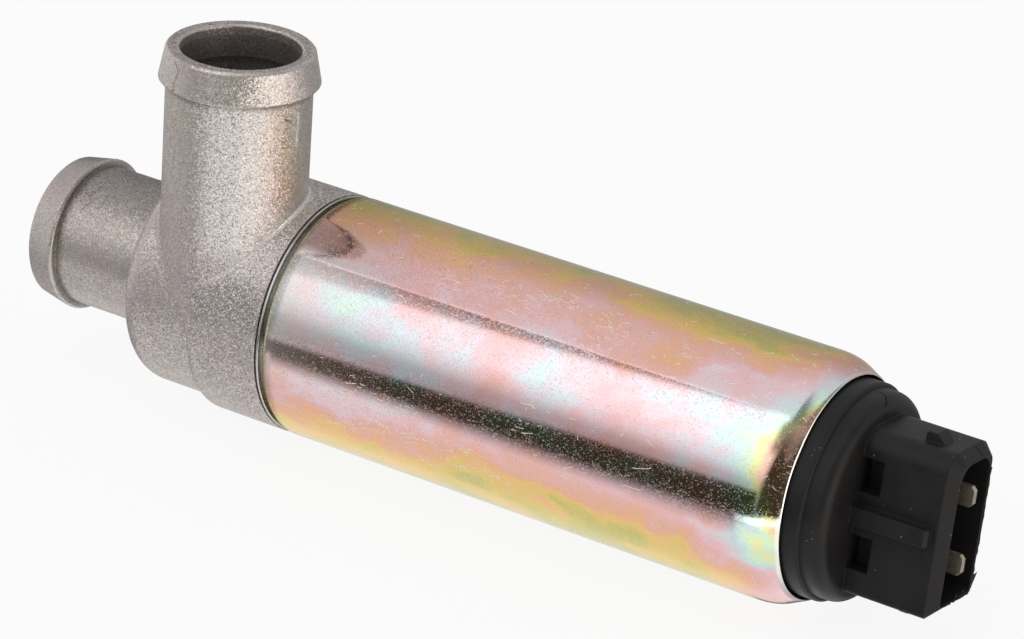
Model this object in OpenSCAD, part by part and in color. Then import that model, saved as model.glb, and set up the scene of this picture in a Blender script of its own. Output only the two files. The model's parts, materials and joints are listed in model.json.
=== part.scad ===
// Idle air valve: a solenoid in a drawn steel can moves a poppet in a die-cast head.
// The can's axis is X. The head is at -X, the plug socket at +X and the side hose stub points up.
// The origin is on the axis at mid-length of the can. All sizes are in millimetres.

/* [Can] */
// Outer diameter of the can
can_d = 34; // [30:0.5:42]
// Length of the can from end to end
can_len = 79.5; // [66:0.5:96]
// Thickness of the can's sheet
can_wall = 1.2; // [0.8:0.1:1.6]
// Corner radius of the can's front edge
can_edge = 0.8; // [0.3:0.1:1]
// Outer bend radius of the rolled end
roll_r = 2.5; // [2:0.1:3.5]
// How far the end is rolled inwards, in degrees
roll_angle = 75; // [60:1:80]

/* [Head] */
// Length of the head from its open face to the face that carries the end stub
head_len = 24.05; // [23.8:0.05:29]
// Length of the part of the head that is as wide as the can
collar_len = 11.5; // [9:0.1:13]
// Outer diameter of the narrower nose of the head
nose_d = 31.8; // [29:0.1:31.8]
// Corner radius at the end of the nose
nose_round = 3; // [1:0.1:4]
// Corner radius of the collar's shoulder
collar_round = 0.6; // [0.2:0.1:0.6]
// Fillet between the nose and the collar's shoulder
step_fillet = 0.5; // [0.2:0.1:0.5]
// Diameter of the valve chamber
chamber_d = 22.4; // [20:0.1:23]
// Thickness of the head's wall behind the seat
seat_wall = 3.9; // [3.2:0.1:5]

/* [Hose stubs] */
// Outer diameter of both stubs
stub_d = 20; // [19:0.1:24]
// Diameter of the air bore in both stubs
port_d = 16.5; // [15:0.1:17]
// Length of the end stub from the head's face
end_stub_len = 20.2; // [16:0.1:30]
// How far the end stub's axis lies above the can's axis
end_rise = 0.3; // [0:0.1:0.6]
// Height of the side stub's mouth above the can's axis
side_reach = 37.6; // [31:0.1:50]
// Distance of the side stub's axis from the open face of the head
side_stub_x = 12.2; // [12.1:0.1:13]
// How far the side stub's axis lies in front of the can's axis
side_offset = 5.8; // [3:0.1:6.4]
// Height of the bead's sharp edge above the stub
bead_h = 1; // [0.6:0.1:3]
// Length of the bead
bead_len = 4.7; // [3:0.1:6]
// Height of the bead's mouth end above the stub
mouth_h = 0.2; // [-0.2:0.1:0.5]

/* [Front plate] */
// Gap between the head and the plate's rim, seen in the seam
seam_gap = 0.3; // [0.1:0.05:0.5]
// Gap between the plate's rim and the can, seen in the seam
can_gap = 0.5; // [0.2:0.05:0.8]
// Thickness of the plate's rim
rim_t = 0.3; // [0.2:0.1:1]
// How far the rim lies inside the can's outer surface
rim_inset = 0.15; // [0:0.05:0.5]
// Length of the spigot that enters the head
front_spigot = 3.8; // [3.6:0.1:3.9]
// Radial wall of the head around that spigot
spigot_wall = 2.85; // [2:0.05:4]
// Length of the spigot that enters the can
rear_spigot = 4; // [3:0.1:6]
// How far the bearing boss stands into the chamber
boss_len = 3.5; // [2:0.1:4]
// Diameter of the bearing boss
boss_d = 10.4; // [9.6:0.1:12]

/* [Plunger] */
// Travel of the plunger from shut to fully open
stroke = 4.5; // [3:0.1:5.5]
// Diameter of the shaft
shaft_d = 4; // [3.2:0.1:5]
// Diameter of the armature
armature_d = 13.9; // [12:0.1:16]
// Diameter of the air passages through the armature
passage_d = 2; // [1:0.1:2.2]
// Number of air passages
passage_count = 3; // [2:1:4]
// Air gap left between the armature and the shim when fully open
open_gap = 0.2; // [0.1:0.05:0.4]
// Thickness of the shim on the core
shim_t = 0.4; // [0.2:0.1:0.6]

/* [Valve] */
// Diameter of the poppet's flange
disc_d = 18.6; // [17.4:0.1:19.8]
// Thickness of the poppet's flange
disc_t = 2.6; // [2:0.1:3.2]
// Inner diameter of the seat
seat_d = 15; // [13:0.1:16]
// Radial thickness of the seat ring
seat_rim = 2; // [1.5:0.1:2.5]
// Length of the seat ring
seat_len = 2.6; // [2:0.1:3]
// How far the seat stands out of its pocket
seat_lip = 0.4; // [0.2:0.1:0.8]
// Gap between the shut poppet and the seat, the valve's idle leak
leak_gap = 0.1; // [0.05:0.05:0.3]
// Length of the poppet's nose inside the seat
plug_len = 2.3; // [1.5:0.1:3]
// Length of the poppet's hub behind the flange
hub_len = 2; // [1:0.1:2.4]
// Diameter of that hub
hub_d = 9.8; // [9:0.1:11]
// Thickness of the retaining clip
clip_t = 0.5; // [0.4:0.1:0.8]
// Length of the collar on the shaft
collar_t = 1.4; // [1:0.1:2]

/* [Coil] */
// Wall of the tube that the armature runs in
tube_wall = 0.3; // [0.2:0.05:0.5]
// Radial gap around the armature
armature_gap = 0.25; // [0.15:0.05:0.4]
// Wall of the bobbin's tube
bobbin_wall = 1; // [0.8:0.1:1.5]
// Thickness of the bobbin's flanges
bobbin_flange = 1.6; // [1:0.1:2.5]
// Free depth between the winding and the flanges' rims
winding_inset = 1.1; // [0.5:0.1:2]
// Thickness of the rear plate
rear_plate_t = 3.5; // [2.5:0.1:5]
// Height of the conical washer
spring_washer_h = 1.8; // [1.2:0.1:2.4]
// Length of the core in front of the rear plate's outer face
core_len = 25.2; // [22:0.1:30]
// Length of the core behind the rear plate
core_tail = 4.6; // [3.5:0.1:5]
// Length of the adjusting screw
screw_len = 5; // [4:0.1:6]
// Length of each bearing bush
bush_len = 6; // [5:0.1:7]
// Radial wall of each bush
bush_wall = 1.4; // [1.1:0.1:1.5]

/* [Springs] */
// Wire diameter of the return spring
return_wire = 0.7; // [0.5:0.05:0.9]
// Turns of the return spring
return_turns = 6; // [4:0.5:7]
// Wire diameter of the balance spring
balance_wire = 0.5; // [0.3:0.05:0.6]
// Turns of the balance spring
balance_turns = 7; // [5:0.5:8]

/* [Cap] */
// Length of the cap's wide band outside the can
band_len = 2.35; // [1.5:0.05:4]
// Length of the narrower band in front of it
neck_len = 3.1; // [2.5:0.1:5]
// Step in radius between the two bands
band_step = 0.6; // [0.3:0.05:1]
// Corner radius of the narrower band
neck_round = 1.8; // [0.5:0.1:2.2]
// Wall of the skirt that reaches down to the rear plate
skirt_wall = 2.5; // [2:0.1:3]
// Depth of solid plastic behind the band's front face
cap_floor = 7.2; // [5:0.1:8]

/* [Plug socket] */
// How far the socket is turned about the can's axis, in degrees
cap_clock = 6; // [0:1:45]
// Size of the shroud across the flats that carry the ribs
shroud_t = 11.6; // [10.5:0.1:14]
// Size of the shroud across the lugs
shroud_w = 22.1; // [20:0.1:24]
// Length of the shroud
shroud_len = 13; // [11:0.1:16]
// Wall of the shroud
shroud_wall = 1.6; // [1.2:0.1:2]
// Corner radius of the shroud at its upper edge
shroud_corner = 2.8; // [1.5:0.1:3.2]
// Corner radius of the shroud at its lower edge
foot_corner = 0.6; // [0.4:0.1:2.8]
// Corner radius of the socket at its upper edge
socket_corner = 2.6; // [1:0.1:3]
// Bevel around the shroud's mouth
mouth_bevel = 1.35; // [0.5:0.05:1.4]
// Depth of the socket
socket_depth = 9.7; // [8:0.1:11]
// Distance between the middles of the two blades
blade_pitch = 9.4; // [8:0.1:11]
// Width of a blade
blade_w = 2.8; // [2.2:0.1:3.4]
// Thickness of a blade
blade_t = 0.8; // [0.6:0.1:1]
// How far the blades' tips stand out of the mouth
blade_reach = 0.4; // [-2:0.1:0.6]
// Thickness of the rib
rib_t = 2.4; // [1.6:0.1:3]
// Height of the rib above the shroud
rib_h = 1.4; // [0.8:0.1:2]
// Distance of the rib's end from the mouth
rib_stop = 2.1; // [1.5:0.1:3]
// Length of the pockets at the shroud's foot
pocket_len = 3; // [2:0.1:3.2]
// Size of the pockets across the rib
pocket_w = 4.7; // [3:0.1:5]
// Gap between the middle of the shroud and the pockets
pocket_from = 2.9; // [2:0.1:3.4]
// Depth of the pockets
pocket_depth = 3; // [1.5:0.1:3.6]
// Height of the latch lugs
lug_h = 1.3; // [0.8:0.1:2]
// Width of the latch lugs
lug_w = 2.6; // [2:0.1:4]
// Length of the latch lugs
lug_len = 2.7; // [2.5:0.1:4]
// Distance of the lugs from the mouth
lug_from = 3.7; // [2.5:0.1:4]
// How far the lugs lie in front of the shroud's middle
lug_shift = 1.3; // [0:0.1:1.5]

/* [Fits] */
// Radial gap between pieces that are pressed or slipped together
slip = 0.05; // [0.03:0.01:0.08]
// Radial gap between the shaft and its bushes
running = 0.03; // [0.02:0.01:0.06]
// Radial gap between the rolled end and the cap
lip_gap = 0.12; // [0.05:0.01:0.2]
// Thickness of the O-rings
seal_t = 1.6; // [1.2:0.1:2]
// Extra width of the O-rings' grooves
groove_play = 0.4; // [0.2:0.1:0.6]

/* [Hidden] */
$fn = 72;
// Overlap that joins or clears solids inside one piece
eps = 0.2;
// Edge radii of turned and moulded pieces
fine_edge = 0.1;
small_edge = 0.3;
large_edge = 0.5;

// Can and seam
can_r = can_d / 2;
can_in_r = can_r - can_wall;
can_x0 = -can_len / 2;
can_x1 = can_len / 2;
plate_x = can_x0 - can_gap;
rim_x0 = plate_x - rim_t;
head_x1 = rim_x0 - seam_gap;
head_x0 = head_x1 - head_len;
roll_x = can_x1 - roll_r;
roll_in_r = roll_r - can_wall;
lip_r = can_r - roll_r + roll_in_r * cos(roll_angle);

// Head
nose_r = nose_d / 2;
step_x = head_x1 - collar_len;
chamber_x0 = head_x0 + seat_wall;
chamber_round = 1.2;
spigot_r = can_r - spigot_wall;
side_x = head_x1 - side_stub_x;
end_x = head_x0 - end_stub_len;
end_fillet_r = 0.6;
stub_r = stub_d / 2;
bead_r = stub_r + bead_h;
mouth_r = stub_r + mouth_h;
port_r = port_d / 2;
bead_edge = 0.3;
port_chamfer = 0.25;
// The side port narrows between these two heights, to this share of its radius
port_floor_z = 2;
port_wide_z = 9;
port_floor_share = 0.66;

// Valve
seat_x1 = chamber_x0 + seat_lip;
seat_x0 = seat_x1 - seat_len;
seat_out_r = seat_d / 2 + seat_rim;
disc_x0 = seat_x1 + leak_gap;
disc_x1 = disc_x0 + disc_t;
plug_x0 = disc_x0 - plug_len;
plug_gap = 0.35;
plug_taper = 1.6;
hub_x1 = disc_x1 + hub_len;
seal_depth = 0.8;
seal_w = seat_rim * 0.75;
shaft_r = shaft_d / 2;
shaft_chamfer = 0.4;
clip_groove = 0.4;
clip_rim = 1.6;
clip_hole_r = 0.45;
clip_hole_angle = 20;
clip_x0 = plug_x0 - clip_t - slip;
clip_in_r = shaft_r - clip_groove;
clip_out_r = shaft_r + clip_rim;
collar_r = shaft_r + 0.8;
collar_x0 = hub_x1 + slip;
shaft_end = 1;
shaft_x0 = clip_x0 - shaft_end;

// Front plate
front_x0 = head_x1 - front_spigot;
front_x1 = plate_x + rear_spigot;
boss_x0 = front_x0 - boss_len;
bush_r = shaft_r + running + bush_wall;
tube_seat = 5;
tube_x0 = front_x1 - tube_seat;
shaft_hole_gap = 0.7;
housing_seal_x = (front_x0 + head_x1) / 2;
groove_w = seal_t + groove_play;
seal_r = seal_t / 2;
seal_slack = 0.02;
dish_depth = 1.4;
dish_rim = 1.6;

// Armature and core
armature_r = armature_d / 2;
armature_clear = 2;
tube_in_r = armature_r + armature_gap;
tube_out_r = tube_in_r + tube_wall;
core_r = tube_in_r - slip;
core_bore_gap = 0.4;
shim_rim = 0.4;
shim_bore_gap = 0.8;

// Coil stack, set out from the rear end
rear_x1 = roll_x - cap_floor;
rear_x0 = rear_x1 - rear_plate_t;
core_x0 = rear_x1 - core_len;
// The armature fills what the core, the shim and the travel leave of the can
armature_x0 = front_x1 + armature_clear;
armature_x1 = core_x0 - shim_t - open_gap - stroke;
washer_x0 = rear_x0 - spring_washer_h;
washer_t = 0.6;
washer_land = 0.1;
bobbin_x0 = front_x1 + slip;
bobbin_x1 = washer_x0 - slip;
bobbin_in_r = tube_out_r + slip;
bobbin_out_r = bobbin_in_r + bobbin_wall;
flange_gap = 0.4;
flange_r = can_in_r - flange_gap;
notch_depth = 0.7;
winding_r = flange_r - winding_inset;
core_x1 = rear_x1 + core_tail;
core_tail_r = tube_in_r - 1.8;
core_head_t = 1.6;
core_head_r = core_r + 2.3;
bush_set = 4;
rear_bush_x0 = core_x0 + bush_set;
rear_bush_x1 = rear_bush_x0 + bush_len;
shaft_x1 = rear_bush_x1 + 1.4;
screw_x1 = core_x1 - large_edge;
screw_x0 = screw_x1 - screw_len;
screw_slot = 0.9;
screw_slot_depth = 1.2;
thread_r = shaft_r + 0.6;

// Springs
spring_sides = 8;
spring_steps = 18;
spring_gap = 0.35;
balance_gap = 0.15;

// Cap and socket
band_r = lip_r - lip_gap;
neck_r = band_r - band_step;
cap_in_r = can_in_r - slip;
cavity_r = cap_in_r - skirt_wall;
cavity_x1 = roll_x + 0.8;
shoulder_x = roll_x + 0.85;
seal_x = roll_x - 2.6;
band_x1 = can_x1 + band_len;
neck_x1 = band_x1 + neck_len;
mouth_x = neck_x1 + shroud_len;
socket_x0 = mouth_x - socket_depth;
// How far the shroud and the ribs run into the band behind them
root = 1;
rib_chamfer = 0.5;
lug_foot = 0.1;
lug_top = 1.5;
lug_back = 0.3;
corner_fn = 40;
blade_x1 = mouth_x + blade_reach;
blade_z = blade_pitch / 2;
blade_tip = 0.5;
tail_z = core_head_r + 2.3;
tail_w = 1.6;
tail_gap = 0.35;
tail_slot_gap = 0.4;
bend_x0 = rear_x1 + 2.4;
bend_x1 = cavity_x1 - 1.4;
bend_lead = 0.4;

// Turns a flat section, drawn as radius across and X upwards, into a body about the X axis
module spin() {
    rotate([0, 90, 0]) rotate_extrude() children();
}

// A straight tube or rod about the X axis
module tube(x0, x1, r_out, r_in = 0) {
    spin() translate([r_in, x0]) square([r_out - r_in, x1 - x0]);
}

// Half section of a disc with its two rims rounded
module disc_section(x0, x1, r, round0, round1) {
    translate([0, x0 + round0]) square([r, x1 - x0 - round0 - round1]);
    translate([0, x0]) square([r - round0, round0 + eps]);
    translate([0, x1 - round1 - eps]) square([r - round1, round1 + eps]);
    intersection() {
        union() {
            translate([r - round0, x0 + round0]) circle(round0);
            translate([r - round1, x1 - round1]) circle(round1);
        }
        translate([0, x0]) square([r, x1 - x0]);
    }
}

// Corner fillet of radius f between a rod of radius r and a shoulder at height 0, below the shoulder
module fillet_section(r, f) {
    difference() {
        translate([r - eps, -f]) square([f + eps, f + eps]);
        translate([r + f, -f]) circle(f);
    }
}

// A hose stub that points along +Z from height z0, with its bead at the mouth at height z1
module stub(z0, z1) {
    bead_z = z1 - bead_len;
    translate([0, 0, z0]) cylinder(h = bead_z - z0 + eps, r = stub_r);
    rotate_extrude() polygon([[0, bead_z], [bead_r - bead_edge, bead_z], [bead_r, bead_z + bead_edge],
        [mouth_r, z1 - bead_edge], [mouth_r - bead_edge, z1], [0, z1]]);
}

// The bore of a stub, with a chamfer at the mouth at height z1
module stub_bore(z0, z1) {
    translate([0, 0, z0]) cylinder(h = z1 - z0 + eps, r = port_r);
    translate([0, 0, z1 - port_chamfer]) cylinder(h = port_chamfer, r1 = port_r, r2 = port_r + port_chamfer);
}

// Lays a stub, drawn along +Z, on the end stub's axis
module on_end_axis() {
    translate([0, 0, end_rise]) rotate([0, -90, 0]) children();
}

// Stands a stub on the side stub's axis
module on_side_axis() {
    translate([side_x, -side_offset, 0]) children();
}

module head_section() {
    disc_section(head_x0, head_x1 - large_edge, nose_r, nose_round, fine_edge);
    disc_section(step_x, head_x1, can_r, collar_round, fine_edge);
    translate([0, step_x]) fillet_section(nose_r, step_fillet);
}

module side_port() {
    floor_r = port_r * port_floor_share;
    translate([0, 0, port_floor_z]) cylinder(h = port_wide_z - port_floor_z, r1 = floor_r, r2 = port_r);
    stub_bore(port_wide_z, side_reach);
}

module valve_housing() {
    color("silver") difference() {
        union() {
            spin() head_section();
            on_end_axis() stub(-head_x0 - eps, -end_x);
            on_end_axis() translate([0, 0, -head_x0]) mirror([0, 0, 1]) rotate_extrude()
                fillet_section(stub_r, end_fillet_r);
            on_side_axis() stub(0, side_reach);
        }
        on_end_axis() stub_bore(-chamber_x0 - eps, -end_x);
        tube(seat_x0, chamber_x0 + eps, seat_out_r + slip);
        spin() disc_section(chamber_x0, front_x0 + eps, chamber_d / 2, chamber_round, fine_edge);
        tube(front_x0 - slip, head_x1 + eps, spigot_r + slip);
        on_side_axis() side_port();
    }
}

module seat_ring() {
    color("goldenrod") spin() difference() {
        disc_section(seat_x0, seat_x1, seat_out_r, small_edge, large_edge);
        translate([0, seat_x0 - eps]) square([seat_d / 2, seat_len + 2 * eps]);
    }
}

module valve_disc() {
    plug_r = seat_d / 2 - plug_gap;
    color("gainsboro") difference() {
        spin() difference() {
            union() {
                disc_section(disc_x0, disc_x1, disc_d / 2, small_edge, small_edge);
                polygon([[0, plug_x0], [plug_r - plug_taper, plug_x0], [plug_r, disc_x0 - small_edge],
                    [plug_r, disc_x0 + eps], [0, disc_x0 + eps]]);
                translate([0, disc_x1 - eps]) square([hub_d / 2, hub_len + eps]);
            }
            translate([seat_d / 2, disc_x0 - eps]) square([seal_w, eps + seal_depth]);
        }
        tube(plug_x0 - eps, hub_x1 + eps, shaft_r + slip);
    }
}

// The rubber ring sits in the poppet's face groove, opposite the seat's rim
module disc_seal() {
    seal_in_r = seat_d / 2;
    color("dimgray") tube(disc_x0, disc_x0 + seal_depth - slip, seal_in_r + seal_w - slip, seal_in_r + slip);
}

module valve_clip() {
    slot = clip_in_r * 1.5;
    color("slategray") translate([clip_x0, 0, 0]) rotate([90, 0, 90]) linear_extrude(clip_t) difference() {
        circle(clip_out_r);
        circle(clip_in_r + slip);
        translate([-slot / 2, 0]) square([slot, clip_out_r + eps]);
        for (side = [0, 1]) mirror([side, 0]) rotate(-clip_hole_angle)
            translate([shaft_r + clip_rim / 2, 0]) circle(clip_hole_r);
    }
}

module valve_shaft() {
    groove_x0 = clip_x0 - slip;
    groove_x1 = clip_x0 + clip_t + slip;
    collar_x1 = collar_x0 + collar_t;
    color("lightgray") spin() polygon([[0, shaft_x0], [shaft_r - shaft_chamfer, shaft_x0],
        [shaft_r, shaft_x0 + shaft_chamfer], [shaft_r, groove_x0], [clip_in_r, groove_x0],
        [clip_in_r, groove_x1], [shaft_r, groove_x1], [shaft_r, collar_x0], [collar_r, collar_x0],
        [collar_r, collar_x1], [shaft_r, collar_x1], [shaft_r, shaft_x1 - shaft_chamfer],
        [shaft_r - shaft_chamfer, shaft_x1], [0, shaft_x1]]);
}

// A helical spring about the X axis with closed ends, swept as a wire with flat sides
module coil_spring(x0, x1, r, wire, turns) {
    n = floor(turns * spring_steps);
    wr = wire / 2;
    free = x1 - x0 - wire;
    // The first and last turn lie close, and the rest share the length between them
    dead = wire * 1.02;
    function rise(t) =
        t < 1 ? dead * t :
        t > turns - 1 ? free - dead * (turns - t) :
        dead + (free - 2 * dead) * (t - 1) / (turns - 2);
    points = [for (i = [0:n]) let (t = i / spring_steps, a = 360 * t, x = x0 + wr + rise(t))
        for (k = [0:spring_sides - 1]) let (b = 360 * k / spring_sides, q = r + wr * cos(b))
            [x + wr * sin(b), q * cos(a), q * sin(a)]];
    faces = concat(
        [[for (k = [0:spring_sides - 1]) k]],
        [for (i = [0:n - 1]) for (k = [0:spring_sides - 1]) let (m = (k + 1) % spring_sides)
            [i * spring_sides + k, (i + 1) * spring_sides + k, (i + 1) * spring_sides + m,
                i * spring_sides + m]],
        [[for (k = [spring_sides - 1:-1:0]) n * spring_sides + k]]);
    polyhedron(points, faces);
}

module return_spring() {
    color("lightsteelblue") coil_spring(disc_x1 + slip, front_x0 - slip,
        max(boss_d, hub_d) / 2 + return_wire / 2 + spring_gap, return_wire, return_turns);
}

module balance_spring() {
    color("lightsteelblue") coil_spring(shaft_x1 + slip, screw_x0 - slip,
        shaft_r - balance_wire / 2 - balance_gap, balance_wire, balance_turns);
}

module front_bush() {
    color("peru") tube(boss_x0, boss_x0 + bush_len, bush_r, shaft_r + running);
}

module rear_bush() {
    color("peru") tube(rear_bush_x0, rear_bush_x1, bush_r, shaft_r + running);
}

// An O-ring that just clears the bore around it and its groove's floor, centred at x
module o_ring(x, bore_r) {
    color("black") spin() translate([bore_r - seal_r - seal_slack, x]) circle(seal_r);
}

// The groove for an O-ring in a spigot that runs in a bore
module ring_groove(x, bore_r) {
    tube(x - groove_w / 2, x + groove_w / 2, bore_r + eps, bore_r - seal_t - 2 * seal_slack);
}

module housing_seal() {
    o_ring(housing_seal_x, spigot_r + slip);
}

module cap_seal() {
    o_ring(seal_x, can_in_r);
}

// The dish in its front face seats the return spring, and its boss carries the bush
module front_plate() {
    dish_r0 = boss_d / 2 + return_wire + dish_rim;
    dish_r1 = spigot_r - seal_t - dish_rim;
    color("whitesmoke") difference() {
        union() {
            tube(boss_x0, front_x0 + eps, boss_d / 2);
            spin() disc_section(front_x0, head_x1 + eps, spigot_r, small_edge, fine_edge);
            tube(head_x1, rim_x0 + eps, spigot_r);
            tube(rim_x0, plate_x, can_r - rim_inset);
            spin() disc_section(plate_x - eps, front_x1, can_in_r - slip, fine_edge, large_edge);
        }
        ring_groove(housing_seal_x, spigot_r + slip);
        tube(front_x0 - eps, front_x0 + dish_depth, dish_r1, dish_r0);
        tube(boss_x0 - eps, boss_x0 + bush_len + slip, bush_r + slip);
        tube(boss_x0, tube_x0 + eps, shaft_r + shaft_hole_gap);
        tube(tube_x0, front_x1 + eps, tube_out_r + slip);
    }
}

module guide_tube() {
    color("lightgray") tube(tube_x0 + slip, rear_x0 - slip, tube_out_r, tube_in_r);
}

module armature() {
    color("gray") difference() {
        spin() disc_section(armature_x0, armature_x1, armature_r, large_edge, large_edge);
        tube(armature_x0 - eps, armature_x1 + eps, shaft_r + slip);
        for (i = [0:passage_count - 1]) rotate([360 * i / passage_count, 0, 0])
            translate([0, 0, (shaft_r + armature_r) / 2])
                tube(armature_x0 - eps, armature_x1 + eps, passage_d / 2);
    }
}

// Turns what belongs to the socket about the can's axis
module clocked() {
    rotate([-cap_clock, 0, 0]) children();
}

module coil_bobbin() {
    notch_w = tail_w + 1;
    color("ivory") difference() {
        union() {
            tube(bobbin_x0, bobbin_x1, bobbin_out_r, bobbin_in_r);
            tube(bobbin_x0, bobbin_x0 + bobbin_flange, flange_r, bobbin_in_r);
            tube(bobbin_x1 - bobbin_flange, bobbin_x1, flange_r, bobbin_in_r);
        }
        clocked() for (side = [0, 1]) mirror([0, 0, side])
            translate([bobbin_x1 - bobbin_flange - eps, -notch_w / 2, flange_r - notch_depth])
                cube([bobbin_flange + 2 * eps, notch_w, notch_depth + eps]);
    }
}

module coil_winding() {
    color("orangered") tube(bobbin_x0 + bobbin_flange + slip, bobbin_x1 - bobbin_flange - slip,
        winding_r, bobbin_out_r + slip);
}

module residual_washer() {
    color("goldenrod") tube(core_x0 - shim_t, core_x0, core_r - shim_rim, shaft_r + shim_bore_gap);
}

module pole_core() {
    color("gray") difference() {
        union() {
            spin() disc_section(core_x0, rear_x1 + eps, core_r, small_edge, fine_edge);
            spin() disc_section(rear_x1 + slip, rear_x1 + core_head_t, core_head_r, fine_edge, large_edge);
            spin() disc_section(rear_x1, core_x1, core_tail_r, fine_edge, large_edge);
        }
        tube(core_x0 - eps, rear_bush_x0 + eps, shaft_r + core_bore_gap);
        tube(rear_bush_x0 - slip, rear_bush_x1, bush_r + slip);
        tube(rear_bush_x1 - eps, core_x1 + eps, thread_r + slip);
    }
}

module adjusting_screw() {
    color("silver") difference() {
        spin() disc_section(screw_x0, screw_x1, thread_r, small_edge, small_edge);
        translate([screw_x1 - screw_slot_depth, -screw_slot / 2, -thread_r - eps])
            cube([screw_slot_depth + eps, screw_slot, 2 * (thread_r + eps)]);
    }
}

// A conical washer between the bobbin and the rear plate, inside the terminals' tails
module spring_washer() {
    r0 = bobbin_in_r + small_edge;
    r1 = tail_z - tail_w / 2 - tail_slot_gap - large_edge;
    x1 = rear_x0 - slip;
    color("dimgray") spin() polygon([[r0, washer_x0], [r0 + washer_land, washer_x0], [r1, x1 - washer_t],
        [r1, x1], [r1 - washer_land, x1], [r0, washer_x0 + washer_t]]);
}

module rear_plate() {
    slot_t = blade_t + 2 * tail_slot_gap;
    slot_w = tail_w + 2 * tail_slot_gap;
    color("whitesmoke") difference() {
        spin() disc_section(rear_x0, rear_x1 - slip, can_in_r - slip, large_edge, small_edge);
        tube(rear_x0 - eps, rear_x1 + eps, core_r + slip);
        clocked() for (side = [0, 1]) mirror([0, 0, side])
            translate([rear_x0 - eps, -slot_t / 2, tail_z - slot_w / 2])
                cube([rear_plate_t + 2 * eps, slot_t, slot_w]);
    }
}

module steel_can() {
    reach = 2 * roll_r;
    // The corner is limited by the sheet
    edge = min(can_edge, can_wall - eps);
    color("burlywood") spin() {
        translate([can_in_r, can_x0]) square([can_wall - edge, edge + eps]);
        translate([can_in_r, can_x0 + edge]) square([can_wall, roll_x - can_x0 - edge]);
        intersection() {
            translate([can_r - edge, can_x0 + edge]) circle(edge);
            translate([can_r - edge - eps, can_x0]) square([edge + eps, edge]);
        }
        translate([can_r - roll_r, roll_x]) intersection() {
            difference() {
                circle(roll_r);
                circle(roll_in_r);
            }
            polygon([[0, 0], [reach, 0], [reach, reach * tan(roll_angle / 2)],
                [reach * cos(roll_angle), reach * sin(roll_angle)]]);
        }
    }
}

// A rectangle across the axis with round corners, with half sizes w along Z and t along Y
module round_outline(w, t, c) {
    square([2 * (w - c), 2 * t], center = true);
    square([2 * w, 2 * (t - c)], center = true);
    for (x = [-1, 1]) for (y = [-1, 1]) translate([x * (w - c), y * (t - c)]) circle(c, $fn = corner_fn);
}

// The same with corners of radius top above the middle and foot below it
module split_outline(w, t, top, foot) {
    intersection() {
        round_outline(w, t, max(top, small_edge));
        translate([0, -t]) square([w, 2 * t]);
    }
    intersection() {
        round_outline(w, t, max(foot, small_edge));
        translate([-w, -t]) square([w + eps, 2 * t]);
    }
}

// Outline of the shroud, cut back by g
module shroud_outline(g) {
    split_outline(shroud_w / 2 - g, shroud_t / 2 - g, shroud_corner - g, foot_corner - g);
}

// Stands a flat outline, drawn with Z across and Y upwards, on the plane at x and extrudes it
module stand(x, h) {
    multmatrix([[0, 0, 1, x], [0, 1, 0, 0], [1, 0, 0, 0], [0, 0, 0, 1]]) linear_extrude(h) children();
}

module shroud() {
    sheet = 0.01;
    crease_x = mouth_x - mouth_bevel;
    stand(neck_x1 - root, crease_x - neck_x1 + root) shroud_outline(0);
    hull() {
        stand(crease_x - sheet, sheet) shroud_outline(0);
        stand(mouth_x - sheet, sheet) shroud_outline(mouth_bevel);
    }
}

module rib() {
    rib_x1 = mouth_x - rib_stop;
    y0 = shroud_t / 2 - root;
    y1 = shroud_t / 2 + rib_h;
    translate([0, 0, -rib_t / 2]) linear_extrude(rib_t) polygon([[neck_x1 - root, y0], [rib_x1, y0],
        [rib_x1, y1 - rib_chamfer], [rib_x1 - rib_chamfer, y1], [neck_x1 - root, y1]]);
}

module lug() {
    x1 = mouth_x - lug_from;
    x0 = x1 - lug_len;
    z0 = shroud_w / 2 - large_edge;
    z1 = shroud_w / 2 + lug_h;
    translate([0, lug_w / 2 - lug_shift, 0]) rotate([90, 0, 0]) linear_extrude(lug_w) polygon([[x0, z0],
        [x1, z0], [x1, shroud_w / 2 + lug_foot], [x0 + lug_top, z1], [x0 + lug_back, z1], [x0, z1 - lug_back]]);
}

module pocket() {
    translate([neck_x1, -shroud_t / 2 - eps, pocket_from]) cube([pocket_len, pocket_depth + eps, pocket_w]);
}

module terminal_slot() {
    t = blade_t + 2 * slip;
    w = blade_w + 2 * slip;
    translate([cavity_x1 - eps, -t / 2, blade_z - w / 2]) cube([socket_x0 - cavity_x1 + 2 * eps, t, w]);
}

module cap_body() {
    spin() disc_section(rear_x1 + slip, roll_x, cap_in_r, small_edge, fine_edge);
    spin() polygon([[0, roll_x - eps], [cap_in_r, roll_x - eps], [cap_in_r, roll_x], [band_r, shoulder_x],
        [0, shoulder_x]]);
    tube(shoulder_x - eps, band_x1 - small_edge, band_r);
    spin() polygon([[0, band_x1 - small_edge], [band_r, band_x1 - small_edge], [band_r - small_edge, band_x1],
        [0, band_x1]]);
    spin() disc_section(band_x1 - root, neck_x1, neck_r, fine_edge, neck_round);
    shroud();
    for (side = [0, 1]) mirror([0, side, 0]) rib();
    for (side = [0, 1]) mirror([0, 0, side]) lug();
}

module connector_cap() {
    color("#222222") clocked() difference() {
        cap_body();
        tube(rear_x1 - eps, cavity_x1, cavity_r);
        ring_groove(seal_x, can_in_r);
        stand(socket_x0, socket_depth + eps) split_outline(shroud_w / 2 - shroud_wall,
            shroud_t / 2 - shroud_wall, socket_corner, foot_corner);
        for (side = [0, 1]) for (end = [0, 1]) mirror([0, side, 0]) mirror([0, 0, end]) pocket();
        for (end = [0, 1]) mirror([0, 0, end]) terminal_slot();
    }
}

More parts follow.
